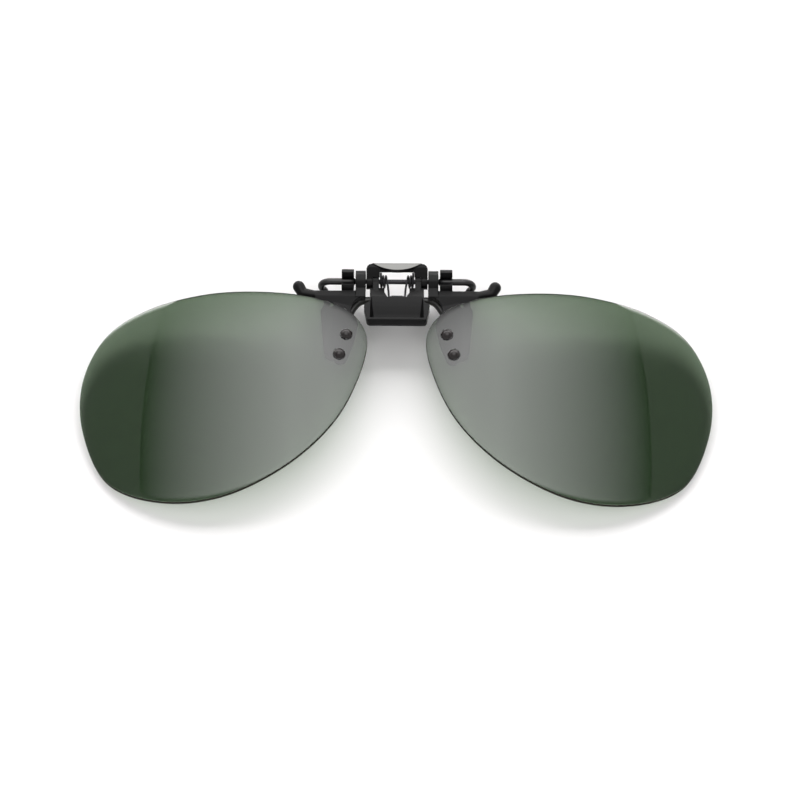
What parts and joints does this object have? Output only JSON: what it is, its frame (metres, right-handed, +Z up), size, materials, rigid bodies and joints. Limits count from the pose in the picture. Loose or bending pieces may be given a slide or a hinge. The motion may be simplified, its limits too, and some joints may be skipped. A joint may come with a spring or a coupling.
{
  "type": "clip-on flip-up sunglasses",
  "caption": "Clip-on sunglasses: rimless tinted lenses riveted to arms that flip up on the axle of a spring clamp, which grips a pair of glasses at the bridge.",
  "frame": {"origin": "on the table under the middle of the whole object, lying on its back", "axes": "+X towards the wearer's left lens, along the axle; +Y towards the brow; +Z up off the table, away from the face"},
  "size_m": [0.1294, 0.0532, 0.0087],
  "materials": {
    "lens_tint": "polished tinted polycarbonate",
    "clip_plastic": "satin moulded",
    "rivet_black": "satin black",
    "clear_washer": "clear",
    "wire_steel": "blackened wire",
    "spring_steel": "dark spring wire",
    "sleeve_black": "shrink sleeve, slightly shiny",
    "soft_rubber": "soft, satin"
  },
  "bodies": {
    "clamp_front": {"lower_lever": "clip_plastic", "front_wire": "wire_steel", "front_sleeve_left": "soft_rubber", "front_sleeve_right": "soft_rubber", "torsion_spring": "spring_steel"},
    "rear_jaw": {"axle_wire": "wire_steel", "upper_lever": "clip_plastic", "axle_sleeve_left": "sleeve_black", "axle_sleeve_right": "sleeve_black", "rear_pad_left": "soft_rubber", "rear_pad_right": "soft_rubber"},
    "left_shade": {"lens_left": "lens_tint", "arm_left": "clip_plastic", "rivet_left_upper": "rivet_black", "rivet_left_lower": "rivet_black", "washer_left_upper": "clear_washer", "washer_left_lower": "clear_washer"},
    "right_shade": {"lens_right": "lens_tint", "arm_right": "clip_plastic", "rivet_right_upper": "rivet_black", "rivet_right_lower": "rivet_black", "washer_right_upper": "clear_washer", "washer_right_lower": "clear_washer"}
  },
  "joints": [
    {"name": "jaw_open", "type": "hinge", "parent": "clamp_front", "child": "rear_jaw", "pos_m": [0, 0.02401, 0.0049], "axis": [1, 0, 0], "range_deg": [0, 25], "stiffness_Nm_per_rad": 0.03, "springref_deg": -34.38, "deforming": ["torsion_spring"]},
    {"name": "lens_flip_left", "type": "hinge", "parent": "clamp_front", "child": "left_shade", "pos_m": [0, 0.02401, 0.0049], "axis": [-1, 0, 0], "range_deg": [0, 100]},
    {"name": "lens_flip_right", "type": "hinge", "parent": "clamp_front", "child": "right_shade", "pos_m": [0, 0.02401, 0.0049], "axis": [-1, 0, 0], "range_deg": [0, 100]}
  ]
}
